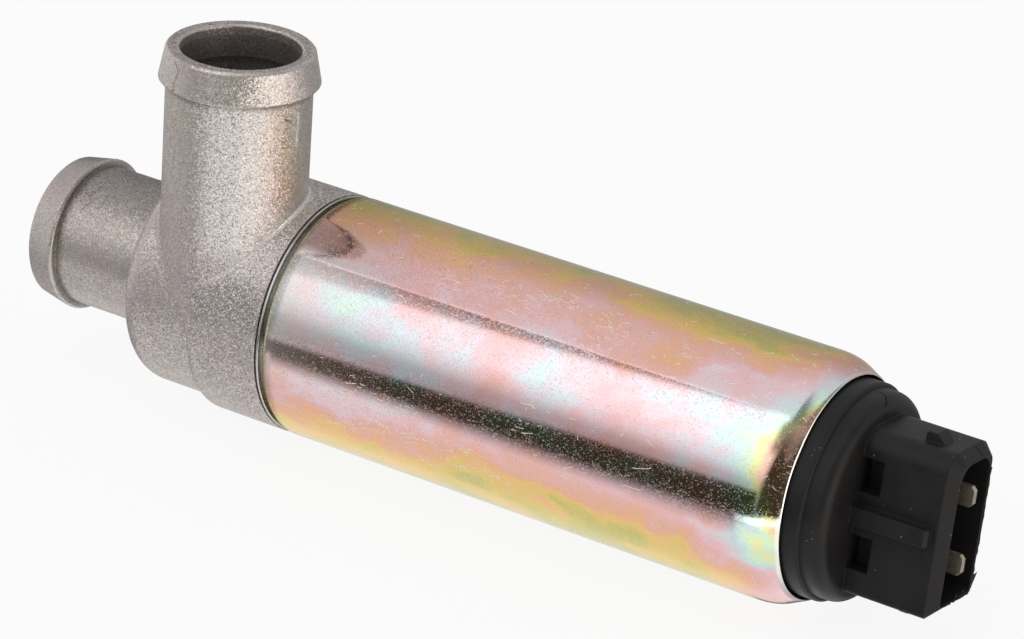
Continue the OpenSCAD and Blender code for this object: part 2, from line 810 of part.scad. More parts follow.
// A blade with a tapered tip, a stepped neck and a tail that jogs out to the coil
module terminal() {
    w = blade_w / 2;
    n = tail_w / 2;
    z = blade_z;
    wide_x = cavity_x1 + bend_lead;
    translate([0, blade_t / 2, 0]) rotate([90, 0, 0]) linear_extrude(blade_t) polygon([
        [bobbin_x1 + tail_gap, tail_z - n], [bend_x0, tail_z - n], [bend_x1 - bend_lead, z - n],
        [wide_x, z - n], [wide_x, z - w], [blade_x1 - blade_tip, z - w], [blade_x1, z - w + blade_tip],
        [blade_x1, z + w - blade_tip], [blade_x1 - blade_tip, z + w], [wide_x, z + w], [wide_x, z + n],
        [bend_x1 + bend_lead, z + n], [bend_x0 + 2 * bend_lead, tail_z + n],
        [bobbin_x1 + tail_gap, tail_z + n]]);
}

module terminal_upper() {
    color("tan") clocked() terminal();
}

module terminal_lower() {
    color("tan") clocked() mirror([0, 0, 1]) terminal();
}

valve_housing();
seat_ring();
valve_disc();
disc_seal();
valve_clip();
valve_shaft();
return_spring();
front_bush();
housing_seal();
front_plate();
guide_tube();
armature();
coil_bobbin();
coil_winding();
residual_washer();
pole_core();
rear_bush();
balance_spring();
adjusting_screw();
spring_washer();
rear_plate();
steel_can();
cap_seal();
connector_cap();
terminal_upper();
terminal_lower();
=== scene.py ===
import bpy
import bmesh
import json
import math
import random
from mathutils import Matrix, Vector


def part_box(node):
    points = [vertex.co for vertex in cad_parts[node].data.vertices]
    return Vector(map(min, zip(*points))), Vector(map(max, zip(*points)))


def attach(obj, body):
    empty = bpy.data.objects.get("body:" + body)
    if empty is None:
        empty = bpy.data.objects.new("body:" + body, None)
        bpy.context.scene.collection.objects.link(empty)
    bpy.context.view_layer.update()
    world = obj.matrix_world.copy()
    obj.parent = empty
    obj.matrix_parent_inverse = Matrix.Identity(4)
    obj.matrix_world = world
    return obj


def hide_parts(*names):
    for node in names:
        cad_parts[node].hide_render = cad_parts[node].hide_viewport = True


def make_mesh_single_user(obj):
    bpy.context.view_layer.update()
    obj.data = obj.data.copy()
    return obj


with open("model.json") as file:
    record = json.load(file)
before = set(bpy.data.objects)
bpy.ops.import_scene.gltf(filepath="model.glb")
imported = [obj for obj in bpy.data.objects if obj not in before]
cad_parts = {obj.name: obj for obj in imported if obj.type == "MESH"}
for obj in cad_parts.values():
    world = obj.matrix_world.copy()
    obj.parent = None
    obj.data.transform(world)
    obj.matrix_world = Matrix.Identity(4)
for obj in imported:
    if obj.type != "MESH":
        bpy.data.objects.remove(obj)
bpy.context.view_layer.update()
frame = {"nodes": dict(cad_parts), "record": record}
nodes = frame["nodes"]
random.seed(7)

# Lengths are in millimetres and angles in degrees, unless a comment says metres or radians
MM = 0.001

# The can: its end at the seam, its radius, its rolled end and the way round it for one degree
can_lo, can_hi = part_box("steel_can")
CAN_X0 = can_lo.x / MM
CAN_R = can_hi.y / MM
LIP_X = 39.75
PER_DEGREE = math.radians(1) * 17.0

# The side stub, its bore and its bead; BY_STUB is the radius just off either stub
SIDE_X, SIDE_Y = -53.05, -5.8
STUB_R, BORE_R, BEAD_R = 10.0, 9.2, 11.0
BY_STUB = STUB_R + 0.3
BEAD_FOOT, BEAD_FULL = 32.9, 33.2
BEAD_SLOPE = 0.8 / 4.1

# The head that the stubs stand on
COLLAR_R, NOSE_R, NOSE_ROUND = 17.0, 15.9, 3.0
STEP_X, HEAD_X0 = -52.35, -64.9

# The end stub: the height of its axis and the corner behind its bead
END_Z = 0.3
END_BEAD_X = -80.6

# The cap: its flange with the rounded corner, the shroud's turn about the axis in radians, the shroud's mouth
FLANGE_R, FLANGE_ROUND, FLANGE_X = 14.12, 1.8, 43.4
CLOCK = math.radians(6)
MOUTH_X = 58.12


class Nodes:
    """A node tree that is built with short calls."""

    def __init__(self, tree):
        self.tree = tree
        tree.nodes.clear()

    def put(self, socket, value):
        """Links an output to the socket, or sets the socket to a plain number, vector or colour."""
        if isinstance(value, bpy.types.NodeSocket):
            self.tree.links.new(value, socket)
            return
        if isinstance(value, tuple) and len(socket.default_value) == len(value) + 1:
            value = (*value, 1)
        socket.default_value = value

    def new(self, kind, inputs=None, **settings):
        node = self.tree.nodes.new("ShaderNode" + kind)
        for name, value in settings.items():
            setattr(node, name, value)
        for key, value in (inputs or {}).items():
            self.put(node.inputs[key], value)
        return node

    def show(self, shader, output):
        self.tree.links.new(shader.outputs[0], self.new(output).inputs[0])

    def math(self, operation, *values, clamp=False):
        return self.new("Math", dict(enumerate(values)), operation=operation, use_clamp=clamp).outputs[0]

    def several(self, operation, first, others):
        for other in others:
            first = self.math(operation, first, other)
        return first

    def mul(self, first, *others):
        return self.several("MULTIPLY", first, others)

    def add(self, first, *others):
        return self.several("ADD", first, others)

    def most(self, first, *others):
        return self.several("MAXIMUM", first, others)

    def minus(self, a, b):
        return self.math("SUBTRACT", a, b)

    def mul_add(self, a, b, c):
        return self.math("MULTIPLY_ADD", a, b, c)

    def over(self, value, limit):
        return self.math("GREATER_THAN", value, limit)

    def below(self, value, limit):
        return self.math("LESS_THAN", value, limit)

    def square_sum(self, a, b):
        return self.mul_add(a, a, self.mul(b, b))

    def length(self, a, b):
        return self.math("SQRT", self.square_sum(a, b))

    def angle(self, rise, run):
        return self.mul(self.math("ARCTAN2", rise, run), math.degrees(1))

    def vec(self, operation, *values, scale=None):
        inputs = dict(enumerate(values))
        if scale is not None:
            inputs["Scale"] = scale
        return self.new("VectorMath", inputs, operation=operation).outputs[0]

    def split(self, vector):
        return self.new("SeparateXYZ", {0: vector}).outputs[:3]

    def join(self, x, y):
        return self.new("CombineXYZ", {0: x, 1: y}).outputs[0]

    def channels(self, colour):
        return self.new("SeparateColor", {0: colour}).outputs[:3]

    def position(self):
        """The point in metres, for the textures, and its x, y and z in millimetres."""
        point = self.new("TexCoord").outputs["Object"]
        return point, *self.split(self.vec("SCALE", point, scale=1 / MM))

    def stretched(self, vector, x, y, z):
        return self.new("Mapping", {"Vector": vector, "Scale": (x, y, z)}).outputs[0]

    def noise(self, vector, scale, detail=3.0, rough=0.5, distort=0.0, output="Fac"):
        inputs = {"Vector": vector, "Scale": scale, "Detail": detail, "Roughness": rough,
                  "Distortion": distort}
        return self.new("TexNoise", inputs).outputs[output]

    def grains(self, vector, scale):
        """One random colour for each grain."""
        return self.new("TexVoronoi", {"Vector": vector, "Scale": scale}).outputs["Color"]

    def dots(self, vector, scale):
        """The distance to scattered points."""
        return self.new("TexVoronoi", {"Vector": vector, "Scale": scale}).outputs["Distance"]

    def ramp(self, value, stops):
        """A colour or a grey for each value, straight between the stops."""
        node = self.new("ValToRGB", {0: value})
        elements = node.color_ramp.elements
        elements.remove(elements[1])
        for i, (place, colour) in enumerate(stops):
            element = elements[0] if i == 0 else elements.new(place)
            element.position = place
            element.color = (*colour, 1) if isinstance(colour, tuple) else (colour, colour, colour, 1)
        return node.outputs[0]

    def level(self, value, stops):
        return self.channels(self.ramp(value, stops))[0]

    def fade(self, value, start, end, first=0.0, last=1.0):
        """From first to last, in a straight line, while the value goes from start to end."""
        return self.new("MapRange", {0: value, 1: start, 2: end, 3: first, 4: last}).outputs[0]

    def ease(self, value, start, end, first=0.0, last=1.0):
        """As fade, with soft ends."""
        inputs = {0: value, 1: start, 2: end, 3: first, 4: last}
        return self.new("MapRange", inputs, interpolation_type="SMOOTHSTEP").outputs[0]

    def mix(self, share, under, top, mode="MIX"):
        node = self.new("Mix", data_type="RGBA", blend_type=mode)
        for i, value in ((0, share), (6, under), (7, top)):
            self.put(node.inputs[i], value)
        return node.outputs[2]

    def bump(self, height, strength, distance, bevel=None):
        """Relief of the given depth, over edges that are rounded by the bevel's radius."""
        inputs = {"Height": height, "Strength": strength, "Distance": distance * MM}
        if bevel is not None:
            inputs["Normal"] = self.new("Bevel", {"Radius": bevel * MM}, samples=6).outputs[0]
        return self.new("Bump", inputs).outputs[0]


class Material(Nodes):
    def __init__(self, name):
        self.material = bpy.data.materials.new(name)
        self.material.use_nodes = True
        super().__init__(self.material.node_tree)

    def surface(self, **sockets):
        """Closes the tree with one shader and returns the material."""
        inputs = {name.replace("_", " "): value for name, value in sockets.items()}
        self.show(self.new("BsdfPrincipled", inputs), "OutputMaterial")
        return self.material


# The casting
def casting_base(m, point, tone, fine):
    """Grains from dark to pale under faint stains, with dull patches and dark spots."""
    base = m.ramp(m.add(m.mul(tone, 0.62), m.mul(fine, 0.38)),
                  [(0.14, (0.36, 0.335, 0.33)), (0.34, (0.51, 0.475, 0.465)), (0.60, (0.63, 0.59, 0.575)),
                   (0.82, (0.82, 0.78, 0.76))])
    stain = m.ramp(m.noise(m.stretched(point, 1, 1, 0.6), 80, 3.0, 0.55, 0.6),
                   [(0.30, (0.95, 0.92, 0.84)), (0.48, (1.0, 0.965, 0.935)), (0.64, (1.0, 0.92, 0.94))])
    colour = m.mix(1.0, base, stain, "MULTIPLY")
    dull = m.fade(m.noise(point, 210, 4.0, 0.6), 0.42, 0.72, 0.0, 0.30)
    colour = m.mix(dull, colour, (0.42, 0.40, 0.39))
    spots = m.fade(m.dots(point, 560), 0.02, 0.08, 0.6, 0.0)
    return m.mix(spots, colour, (0.10, 0.095, 0.09))


def casting_painted_shade(m, colour, x, y, z, out):
    """Painted shade: a dark bore, and darker corners under the side stub's bead and behind the end stub's."""
    painted_bore_shade = m.mul(m.fade(out, BORE_R, BORE_R + 0.2, 1.0, 0.0), m.fade(z, 18.0, 36.2, 1.0, 0.0),
                 m.fade(z, 14.0, 15.0))
    painted_bore_shade = m.mul_add(painted_bore_shade, 0.45, m.mul(m.over(painted_bore_shade, 0.0), 0.38))
    colour = m.mix(painted_bore_shade, colour, (0.035, 0.034, 0.032))
    # Painted shade in the corner under the side stub's bead
    side = m.mul(m.ease(z, BEAD_FOOT - 1.2, BEAD_FOOT - 0.2), m.below(z, BEAD_FOOT + 0.2),
                 m.fade(out, BY_STUB - 0.2, BY_STUB, 0.70, 0.0))
    end_out = m.length(y, m.minus(z, END_Z))
    # Painted shade behind the end stub's bead
    end = m.mul(m.ease(x, END_BEAD_X + 0.3, END_BEAD_X + 1.8, 1.0, 0.0), m.over(x, END_BEAD_X),
                m.fade(end_out, BY_STUB - 0.2, BY_STUB, 0.55, 0.0))
    return m.mix(m.most(side, end), colour, (0.10, 0.09, 0.085))


def casting_painted_light(m, colour, x, z, out, way):
    """A painted highlight on the side stub's front, and painted shade on top of the end stub."""
    # Painted highlight on the side stub's front
    front = m.mul(m.ease(way, -92, -72), m.ease(way, -52, -28, 1.0, 0.25),
                  m.fade(z, BEAD_FOOT - 1.4, BEAD_FOOT + 0.1, 0.54, 0.16),
                  m.fade(z, 9.0, 13.0), m.fade(out, BEAD_R + 0.8, BEAD_R + 1.4, 1.0, 0.0))
    colour = m.mix(front, colour, (0.95, 0.91, 0.89))
    # Painted shade on top of the end stub
    top = m.mul(m.ease(z, 4.5, 10.0, 0.0, 0.42), m.fade(x, HEAD_X0 - 0.6, HEAD_X0 + 0.9, 1.0, 0.0),
                m.fade(x, END_BEAD_X, END_BEAD_X + 0.4, 0.3, 1.0))
    return m.mix(top, colour, (0.22, 0.20, 0.19))


def casting_material(name, pale=0.0):
    """Blasted die-cast alloy, where each grain has its own tone, gloss and lean."""
    m = Material(name)
    point, x, y, z = m.position()
    off_x, off_y = m.add(x, -SIDE_X), m.add(y, -SIDE_Y)
    out = m.length(off_x, off_y)
    turned = m.angle(z, m.mul(y, -1.0))
    grain = m.grains(point, 7400)
    tone, gloss, _ = m.channels(grain)
    fine = m.noise(point, 3400, 3.0, 0.65)
    colour = casting_base(m, point, tone, fine)
    # pale paints a highlight into the colour, for the lit crease of the collar's fillet
    if pale:
        colour = m.mix(pale, colour, (0.97, 0.94, 0.92))
    colour = casting_painted_shade(m, colour, x, y, z, out)
    colour = casting_painted_light(m, colour, x, z, out, m.angle(off_y, off_x))
    # The collar has a zone of painted shade, standing for a dark reflection, with more sparkle, and a painted
    # highlight along its shoulder
    off_stub = m.over(out, BY_STUB)
    collar = m.mul(m.over(x, STEP_X), off_stub)
    painted_shade_sparkle_zone = m.mul(m.ease(turned, 1, 15), m.ease(turned, 22, 33, 1.0, 0.0), collar)
    colour = m.mix(m.mul(painted_shade_sparkle_zone, m.fade(tone, 0.35, 0.80, 0.62, 0.03)), colour, (0.22, 0.21, 0.20))
    painted_shoulder_highlight = m.fade(m.math("ABSOLUTE", m.minus(x, STEP_X - 0.15)), 0.2, 0.4, 0.6, 0.0)
    painted_shoulder_highlight = m.mul(painted_shoulder_highlight, m.fade(turned, 24, 34, 1.0, 0.0), off_stub)
    colour = m.mix(painted_shoulder_highlight, colour, (0.97, 0.95, 0.94))
    # The end stub and the side stub's bead are smoother, the collar rougher
    amount = m.mul_add(collar, 0.16, m.fade(x, -68.0, -62.0, 0.18, 0.42))
    amount = m.mul_add(painted_shade_sparkle_zone, 0.22, m.mul(amount, m.fade(z, 31.8, 33.0, 1.0, 0.72)))
    lean = m.vec("SCALE", m.vec("SUBTRACT", grain, (0.5, 0.5, 0.5)), scale=amount)
    normal = m.vec("NORMALIZE", m.vec("ADD", m.bump(fine, 0.4, 0.04, 0.34), lean))
    rough = m.fade(gloss, 0.0, 1.0, 0.26, 0.44)
    return m.surface(Base_Color=colour, Metallic=0.82, Roughness=rough, Normal=normal)


# The can's yellow passivation: the film's colour by its thickness
FILM = ((0.00, (0.60, 0.53, 0.17)), (0.07, (0.76, 0.57, 0.16)), (0.14, (0.86, 0.54, 0.21)),
        (0.22, (0.84, 0.46, 0.28)), (0.30, (0.82, 0.46, 0.37)), (0.38, (0.82, 0.48, 0.46)),
        (0.46, (0.83, 0.54, 0.57)), (0.54, (0.78, 0.62, 0.67)), (0.61, (0.68, 0.70, 0.76)),
        (0.68, (0.62, 0.78, 0.76)), (0.76, (0.68, 0.88, 0.66)), (0.84, (0.87, 0.84, 0.40)),
        (0.93, (0.90, 0.58, 0.44)))

# Towards the rolled end the film is thicker: share of the can's length, added thickness
FILM_END = ((0.0, 0.0), (0.70, 0.0), (0.86, 0.05), (0.925, 0.16), (0.965, 0.31), (0.99, 0.42))

# Places where the film is thicker or thinner: x, angle, half widths in mm and degrees, added thickness
TINTS = ((-32.0, 44.0, 10.0, 9.0, 0.12), (-18.0, 60.0, 9.0, 9.0, 0.09), (-7.0, 76.0, 9.5, 14.0, 0.15),
         (-1.0, 57.0, 6.5, 8.0, 0.12), (18.0, 60.0, 6.0, 14.0, -0.17), (28.0, 58.0, 5.0, 8.0, 0.06),
         (25.0, 78.0, 9.0, 11.0, -0.12), (32.0, 76.0, 5.0, 11.0, -0.10), (-34.0, 82.0, 6.0, 14.0, -0.06),
         (22.0, 26.0, 12.0, 15.0, -0.13), (9.0, 15.0, 14.0, 7.0, -0.10), (-25.0, 30.0, 9.0, 13.0, 0.05),
         (-24.0, -8.0, 14.0, 10.0, 0.18), (-36.0, -18.0, 5.0, 8.0, 0.08), (31.0, -12.0, 7.0, 10.0, 0.19),
         (31.0, -24.0, 6.0, 7.0, 0.08), (1.0, -23.0, 10.0, 8.0, -0.11), (3.0, 92.0, 7.0, 8.0, 0.05),
         (24.0, 90.0, 8.0, 10.0, -0.06), (5.0, 77.0, 3.0, 5.0, 0.08), (9.5, 83.0, 4.0, 7.0, -0.08))

# Scuffed places: x, angle, half width along and around in mm, share of scratches
SCUFFS = ((-24.6, -3.5, 2.0, 2.6, 1.0), (-17.5, -3.0, 5.0, 1.3, 1.0), (-27.0, -21.0, 2.6, 1.8, 1.0),
          (-20.0, -15.0, 4.5, 2.6, 0.8), (-14.0, -14.5, 4.0, 1.5, 0.9), (-8.0, -13.0, 4.5, 1.3, 1.0),
          (-13.0, -28.0, 2.0, 1.2, 0.7), (-5.0, -23.0, 5.0, 1.5, 0.8), (-16.0, 62.0, 2.2, 1.2, 0.9),
          (0.0, 71.0, 5.0, 1.4, 0.9), (-7.0, 68.0, 4.0, 1.6, 0.5), (2.5, 15.0, 1.6, 2.6, 0.7),
          (-33.0, 38.0, 2.0, 4.0, 0.5), (8.0, 62.0, 2.5, 4.0, 0.6), (20.0, 62.0, 4.0, 2.0, 0.4))

# Layers of scratches: shift, cell, length and width in mm, slope and its spread in radians, bend
SCRATCHES = (((0.0, 0.0), 3.4, 3.4, 0.11, 0.05, 0.30, 0.5), ((1.3, 2.1), 1.8, 1.8, 0.09, 0.0, 0.55, 1.0),
             ((0.7, 0.4), 0.9, 1.0, 0.09, 0.0, 1.5, 1.2), ((2.3, 1.1), 2.7, 2.7, 0.10, 0.1, 0.35, 1.0))


def film_thickness(m, point, x, angle, facing, patch):
    """Thicker where the can faces the front, with clouds and the patches of TINTS."""
    drift = m.channels(m.noise(point, 150, 2.0, 0.5, output="Color"))
    tint_x = m.add(x, m.fade(drift[0], 0.25, 0.75, -3.5, 3.5))
    tint_angle = m.add(angle, m.fade(drift[1], 0.25, 0.75, -9.167, 9.167))
    cloud = m.noise(m.stretched(point, 0.6, 1, 1), 62, 3.0, 0.55, 0.7)
    film = m.mul_add(m.math("POWER", facing, 2.1), 0.53, 0.01)
    film = m.add(film, m.fade(cloud, 0.32, 0.68, -0.15, 0.17), m.fade(patch, 0.34, 0.66, -0.055, 0.055),
                 m.level(m.fade(x, -40.0, 40.0), FILM_END))
    film = m.mul_add(m.math("POWER", facing, 3.0), m.fade(x, -40.0, -18.0, 0.10, 0.0), film)
    for at_x, at_angle, half_x, half_angle, thicker in TINTS:
        dx = m.mul(m.minus(tint_x, at_x), 1 / half_x)
        da = m.mul(m.minus(tint_angle, at_angle), 1 / half_angle)
        film = m.add(film, m.ease(m.square_sum(dx, da), 0.15, 1.7, thicker, 0.0))
    return film


def scuffed(m, x, angle):
    """The share of scratches near the places of SCUFFS."""
    shares = []
    for at_x, at_angle, half_x, half_around, share in SCUFFS:
        dx = m.mul(m.minus(x, at_x), 1 / half_x)
        ds = m.mul(m.minus(angle, at_angle), PER_DEGREE / half_around)
        shares.append(m.fade(m.square_sum(dx, ds), 0.25, 1.6, share, 0.0))
    return m.most(*shares)


def strokes(m, flat, cell, length, width, slope, spread, bend, presence):
    """Fine scratches: one straight or slightly bent stroke in a share of the cells of a plane."""
    cells = m.new("TexVoronoi", {"Vector": flat, "Scale": 1 / cell}, voronoi_dimensions="2D")
    first, second, third = m.channels(cells.outputs["Color"])
    qx, qy, _ = m.split(m.vec("SUBTRACT", flat, cells.outputs["Position"]))
    turn = m.mul_add(first, 2 * spread, slope - spread)
    cosine, sine = m.math("COSINE", turn), m.math("SINE", turn)
    u = m.mul_add(qx, cosine, m.mul(qy, sine))
    v = m.minus(m.mul(qy, cosine), m.mul(qx, sine))
    curve = m.mul(m.mul(u, u), m.mul(m.minus(third, 0.5), bend / length))
    across = m.fade(m.math("ABSOLUTE", m.minus(v, curve)), width * 0.35, width * 0.65, 1.0, 0.0)
    inside = m.below(m.math("ABSOLUTE", u), m.mul_add(second, length * 0.32, length * 0.18))
    pick = m.math("FRACT", m.mul_add(third, 7.31, m.mul(second, 3.17)))
    return m.mul(across, inside, m.below(pick, presence))


def scratch_marks(m, point, x, angle):
    """Dense scratches near the scuffs and a few strays elsewhere."""
    flat = m.join(x, m.mul(angle, PER_DEGREE))
    near = scuffed(m, x, angle)
    stray = m.fade(m.noise(point, 130, 2.0, 0.5), 0.52, 0.70, 0.015, 0.20)
    dense = m.most(m.mul(near, 0.85), stray)
    shares = (dense, dense, m.mul(dense, 0.9), m.mul(near, 0.7))
    return m.most(*(strokes(m, m.vec("ADD", flat, (*shift, 0)), *form, share)
                    for (shift, *form), share in zip(SCRATCHES, shares)))


def can_material(name):
    """Bright zinc under an iridescent film, with grit, specks, scratches, an olive rim at the seam, and a
    painted highlight on the lip that turns darker grey below.
    """
    m = Material(name)
    point, x, y, z = m.position()
    angle = m.angle(z, m.mul(y, -1.0))
    facing = m.math("ABSOLUTE", m.math("COSINE", m.mul(m.add(angle, -28.8), math.radians(1))))
    patch = m.noise(m.stretched(point, 0.75, 1, 1), 210, 3.0, 0.55, 0.9)
    colour = m.ramp(film_thickness(m, point, x, angle, facing, patch), FILM)
    tone, gloss, _ = m.channels(m.grains(m.stretched(point, 0.75, 1, 1), 6200))
    # Silvery at the left end of the front, then dark and khaki grains and dark specks
    silvery = m.mul(m.fade(x, -38.0, -22.0, 0.50, 0.0), m.fade(facing, 0.72, 0.92))
    colour = m.mix(silvery, colour, (0.80, 0.80, 0.79))
    colour = m.mix(m.fade(tone, 0.0, 0.35, 0.07, 0.0), colour, (0.34, 0.29, 0.20))
    colour = m.mix(m.fade(gloss, 0.66, 1.0, 0.0, 0.34), colour, (0.76, 0.74, 0.54))
    specks = m.fade(m.dots(m.stretched(point, 0.8, 1, 1), 330), 0.012, 0.028, 0.75, 0.0)
    colour = m.mix(specks, colour, (0.12, 0.09, 0.07))
    cream = m.most(m.mul(scratch_marks(m, point, x, angle), 0.92), m.fade(tone, 0.97, 0.99, 0.0, 0.30))
    colour = m.mix(cream, colour, (0.99, 0.95, 0.80))
    # The lip gets a cream painted highlight, weakest near the top, and turns darker grey towards the bottom;
    # the rim at the seam is olive with bright grains
    painted_lip_highlight = m.mul(m.fade(x, LIP_X - 0.6, LIP_X - 0.4), m.fade(z, 4.0, 12.5, 0.92, 0.45), m.fade(z, -12.5, -6.5))
    colour = m.mix(painted_lip_highlight, colour, (0.93, 0.90, 0.82))
    lower_lip_grey = m.mul(m.fade(x, LIP_X - 0.7, LIP_X - 0.5), m.fade(z, -12.0, -7.0, 0.9, 0.0))
    colour = m.mix(lower_lip_grey, colour, (0.30, 0.29, 0.25))
    rim = m.mul(m.fade(x, -39.0, -38.4, 1.0, 0.0), m.fade(patch, 0.35, 0.65, 0.45, 0.85))
    colour = m.mix(rim, colour, (0.40, 0.39, 0.22))
    colour = m.mix(m.mul(rim, m.fade(tone, 0.86, 0.90, 0.0, 0.9)), colour, (0.92, 0.90, 0.80))
    rough = m.level(gloss, ((0.0, 0.035), (0.50, 0.07), (0.76, 0.13), (0.90, 0.22), (1.0, 0.36)))
    rough = m.most(rough, m.mul(m.most(cream, rim), 0.45))
    height = m.add(m.mul(tone, 0.5), m.noise(point, 2600, 3.0, 0.7))
    return m.surface(Base_Color=colour, Metallic=m.minus(1.0, m.mul(cream, 0.7)), Roughness=rough,
                     Normal=m.bump(height, 0.19, 0.012))


# The other materials
def turned_material(name, tint, rough):
    """Turned metal: fine rings about the axis and dull blotches."""
    m = Material(name)
    point, x, y, z = m.position()
    rings = m.noise(m.join(x, m.length(y, z)), 3.8, 2.0, 0.6)
    blotch = m.noise(point, 240, 3.0, 0.6)
    colour = m.mix(m.fade(rings, 0.3, 0.7, 0.0, 0.6), tint, tuple(v * 0.62 for v in tint))
    colour = m.mix(m.fade(blotch, 0.45, 0.75, 0.0, 0.4), colour, tuple(v * 0.7 for v in tint))
    rough = m.fade(blotch, 0.3, 0.7, rough - 0.06, rough + 0.10)
    return m.surface(Base_Color=colour, Metallic=1.0, Roughness=rough, Normal=m.bump(rings, 0.3, 0.03, 0.12))


def plastic_material(name, base=(0.0172, 0.0164, 0.0164), dust=0.75, shine=0.18):
    """Satin moulding with soft tones and small clusters of dust."""
    m = Material(name)
    point = m.position()[0]
    soft = m.noise(point, 130, 4.0, 0.6, 0.4)
    fine = m.noise(point, 2400, 2.0, 0.6)
    colour = m.mix(m.fade(soft, 0.35, 0.75, 0.0, 0.55), base, tuple(v * 1.7 + 0.002 for v in base))
    clusters = m.fade(m.noise(point, 330, 2.0, 0.5), 0.56, 0.62, 0.0, dust)
    specks = m.mul(m.fade(m.dots(point, 900), 0.05, 0.10, 1.0, 0.0), clusters)
    colour = m.mix(specks, colour, (0.50, 0.48, 0.44))
    rough = m.add(m.fade(soft, 0.3, 0.7, 0.36, 0.50), m.mul(specks, 0.3))
    height = m.add(m.mul(fine, 0.5), m.mul(soft, 1.2))
    return m.surface(Base_Color=colour, Roughness=rough, Specular_IOR_Level=shine,
                     Normal=m.bump(height, 0.25, 0.06, 0.35))


def blade_material(name):
    """Tinned brass strip, drawn along X."""
    m = Material(name)
    point = m.position()[0]
    streak = m.noise(m.stretched(point, 0.25, 1, 1), 2600, 3.0, 0.6)
    colour = m.ramp(m.noise(point, 900, 3.0, 0.6),
                    [(0.3, (0.50, 0.42, 0.31)), (0.55, (0.70, 0.62, 0.50)), (0.75, (0.80, 0.75, 0.66))])
    colour = m.mix(m.fade(streak, 0.35, 0.7, 0.0, 0.5), colour, (0.34, 0.28, 0.20))
    return m.surface(Base_Color=colour, Metallic=0.85, Roughness=m.fade(streak, 0.3, 0.7, 0.32, 0.5),
                     Normal=m.bump(streak, 0.4, 0.05, 0.12))


def rubber_material(name):
    m = Material(name)
    grain = m.noise(m.position()[0], 1500, 3.0, 0.6)
    colour = m.ramp(grain, [(0.3, (0.012, 0.012, 0.012)), (0.7, (0.035, 0.034, 0.033))])
    rough = m.fade(grain, 0.3, 0.7, 0.5, 0.7)
    return m.surface(Base_Color=colour, Roughness=rough, Normal=m.bump(grain, 0.3, 0.05))


def mark_material(name, scale, detail, dark, pale, metallic, rough):
    """A grainy two-tone surface for small marks; dark, pale and rough hold what the noise runs between."""
    m = Material(name)
    grain = m.noise(m.position()[0], scale, detail, 0.6)
    return m.surface(Base_Color=m.ramp(grain, [dark, pale]), Metallic=metallic,
                     Roughness=m.fade(grain, 0.3, 0.7, *rough))


casting = casting_material("casting_grain")
# The collar fillet's copy of the casting, paler by a painted highlight
casting_painted_highlight = casting_material("casting_crease_painted_highlight", 0.38)
can_steel = can_material("passivated_can")
black = plastic_material("moulded_black")
gloss_black = plastic_material("moulded_edge", (0.004, 0.004, 0.004), 0.0, 0.1)
crack = mark_material("crack_dark", 3000, 2.0, (0.3, (0.05, 0.045, 0.04)), (0.7, (0.16, 0.14, 0.12)),
                      metallic=0.0, rough=(0.6, 0.8))
# Burrs, paler than the casting, with a painted glint in their colour
burr_with_painted_glint = mark_material("burr_painted_glint", 2200, 2.0, (0.3, (0.70, 0.66, 0.60)), (0.6, (0.93, 0.90, 0.84)),
                     metallic=0.35, rough=(0.35, 0.5))
smudge = mark_material("smudge", 1700, 3.0, (0.35, (0.14, 0.125, 0.11)), (0.65, (0.34, 0.31, 0.28)),
                       metallic=0.6, rough=(0.4, 0.6))
BY_SLOT = {
    "casting": casting,
    "passivated_steel": can_steel,
    "bare_steel": turned_material("turned_steel", (0.80, 0.79, 0.77), 0.22),
    "turned_alloy": turned_material("turned_alloy", (0.74, 0.74, 0.74), 0.32),
    "brass": turned_material("turned_brass", (0.72, 0.55, 0.26), 0.26),
    "bronze": turned_material("sintered_bronze", (0.50, 0.36, 0.22), 0.45),
    "copper": turned_material("enamelled_copper", (0.66, 0.30, 0.16), 0.3),
    "rubber": rubber_material("black_rubber"),
    "black_plastic": black,
    "bobbin_plastic": plastic_material("moulded_ivory", (0.60, 0.55, 0.45), 0.1, 0.5),
    "tinned_blade": blade_material("tinned_blade"),
}
for part in frame["record"]["subparts"]:
    for material_slot in nodes[part["node"]].material_slots:
        material_slot.material = BY_SLOT[part["material_slot"]]

# Each spring gets a mesh of its own
for name in ("return_spring", "balance_spring"):
    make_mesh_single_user(nodes[name])


# Meshes
def own_mesh(name, verts, faces, material, smooth, body="casing"):
    """A piece of our own, from points in millimetres; edges sharper than the angle smooth stay sharp."""
    mesh = bpy.data.meshes.new(name)
    mesh.from_pydata([Vector(v) * MM for v in verts], [], faces)
    outward = bmesh.new()
    outward.from_mesh(mesh)
    bmesh.ops.recalc_face_normals(outward, faces=outward.faces[:])
    outward.to_mesh(mesh)
    outward.free()
    for polygon in mesh.polygons:
        polygon.use_smooth = True
    mesh.set_sharp_from_angle(angle=math.radians(smooth))
    mesh.materials.append(material)
    o = bpy.data.objects.new(name, mesh)
    bpy.context.scene.collection.objects.link(o)
    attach(o, body)
    return o


def revolve(profile, count, shift):
    """Points and faces of a ring profile [(x, r)] turned about X; shift(angle, x) moves a point along X."""
    verts, faces = [], []
    k = len(profile)
    for i in range(count):
        a = 2 * math.pi * i / count
        for x, r in profile:
            verts.append((x + shift(a, x), -r * math.cos(a), r * math.sin(a)))
    for i in range(count):
        for j in range(k):
            here, there = i * k, ((i + 1) % count) * k
            faces.append((here + j, here + (j + 1) % k, there + (j + 1) % k, there + j))
    return verts, faces


